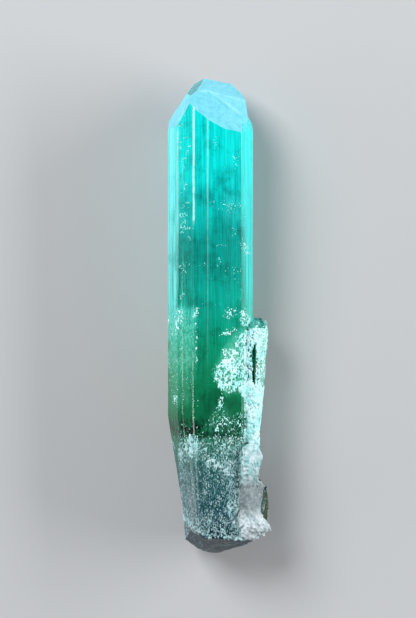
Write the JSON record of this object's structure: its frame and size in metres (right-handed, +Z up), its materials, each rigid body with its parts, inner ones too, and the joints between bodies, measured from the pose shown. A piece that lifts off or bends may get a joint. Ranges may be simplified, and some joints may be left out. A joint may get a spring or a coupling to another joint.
{
  "type": "tourmaline crystal",
  "caption": "Long ridged tourmaline crystal with a faceted pointed end, a smaller crystal grown onto its side and a little pale feldspar matrix, lying on its back face.",
  "frame": {"origin": "under the middle of the specimen, on the surface that it lies on", "axes": "+Y along the crystal towards its pointed end, +Z up out of the face that shows, +X towards the side that carries the side crystal and the matrix"},
  "size_m": [0.0194, 0.09, 0.0146],
  "materials": {
    "tourmaline": "polished",
    "feldspar": "matte"
  },
  "bodies": {
    "root": {"tourmaline_crystal": "tourmaline", "feldspar_matrix": "feldspar"}
  },
  "joints": []
}
